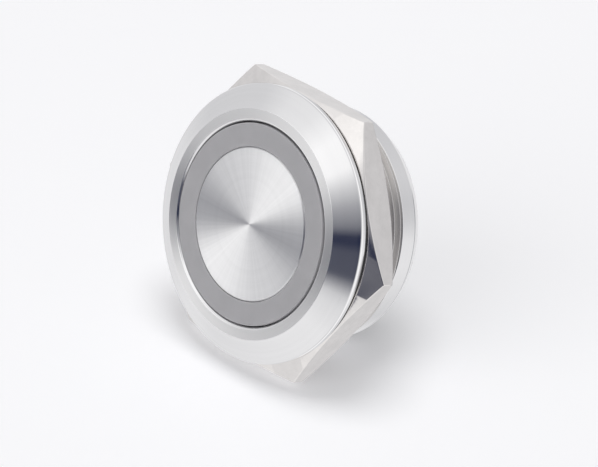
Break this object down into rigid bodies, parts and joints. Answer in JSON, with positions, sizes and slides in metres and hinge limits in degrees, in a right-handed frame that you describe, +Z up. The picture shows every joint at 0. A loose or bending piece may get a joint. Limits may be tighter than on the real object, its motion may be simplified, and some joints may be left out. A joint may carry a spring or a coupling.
{
  "type": "metal push-button switch",
  "caption": "Round metal momentary push-button switch with a flush spun disc in a ring lamp, a bevelled bezel, a fine-threaded barrel and a hexagon panel nut.",
  "frame": {"origin": "centre of the bezel flange's seating face, on the switch's axis, in the plane of the panel's front face", "axes": "+Y along the axis from the button to the terminals, +Z up, +X to the right as seen from the front, with a flat of the nut facing -Z"},
  "size_m": [0.0286, 0.0145, 0.025],
  "materials": {
    "bezel_steel": "turned and polished stainless steel",
    "disc_steel": "spun-brushed stainless steel",
    "nut_nickel": "bright nickel plate on brass",
    "light_plastic": "matte grey translucent plastic",
    "seal_rubber": "matte black rubber",
    "white_plastic": "matte white plastic",
    "black_plastic": "matte black plastic",
    "spring_steel": "drawn spring wire",
    "board_green": "glossy green board lacquer",
    "lamp_white": "glossy white lamp package",
    "resistor_black": "fired black resistor body",
    "contact_gold": "gold flashed contact",
    "pin_tin": "tinned brass",
    "potting_resin": "cast black resin"
  },
  "bodies": {
    "switch_body": {"bezel_body": "bezel_steel", "return_spring": "spring_steel", "inner_housing": "white_plastic", "circuit_board": "board_green", "led_1": "lamp_white", "led_2": "lamp_white", "led_3": "lamp_white", "led_4": "lamp_white", "led_resistor_1": "resistor_black", "led_resistor_2": "resistor_black", "tact_case": "black_plastic", "tact_cover": "spring_steel", "snap_dome": "contact_gold", "fixed_contact": "contact_gold", "common_contact": "contact_gold", "pin_common": "pin_tin", "pin_normally_open": "pin_tin", "pin_lamp_plus": "pin_tin", "pin_lamp_minus": "pin_tin", "rear_cover": "black_plastic", "potting": "potting_resin"},
    "button": {"button_disc": "disc_steel", "light_ring": "light_plastic", "button_seal": "seal_rubber", "actuator": "white_plastic"},
    "tact_stem": {"tact_plunger": "black_plastic"},
    "gasket": {"panel_gasket": "seal_rubber"},
    "nut": {"hex_nut": "nut_nickel"}
  },
  "joints": [
    {"name": "button_press", "type": "slide", "parent": "switch_body", "child": "button", "axis": [0, 1, 0], "range_m": [0, 0.0005], "stiffness_N_per_m": 4000, "springref_m": -0.0005, "deforming": ["return_spring"]},
    {"name": "tact_press", "type": "slide", "parent": "switch_body", "child": "tact_stem", "axis": [0, 1, 0], "range_m": [0, 0.0005], "deforming": ["snap_dome"]},
    {"name": "nut_travel", "type": "slide", "parent": "switch_body", "child": "gasket", "axis": [0, 1, 0], "range_m": [0, 0.00225]},
    {"name": "nut_turn", "type": "hinge", "parent": "gasket", "child": "nut", "pos_m": [0, 0.0018, 0], "axis": [0, 1, 0], "range_deg": [0, 1080]}
  ],
  "couplings": [
    {"joint": "tact_press", "follows": "button_press", "ratio": 1},
    {"joint": "nut_travel", "follows": "nut_turn", "m_per_rad": 0.00011937}
  ]
}
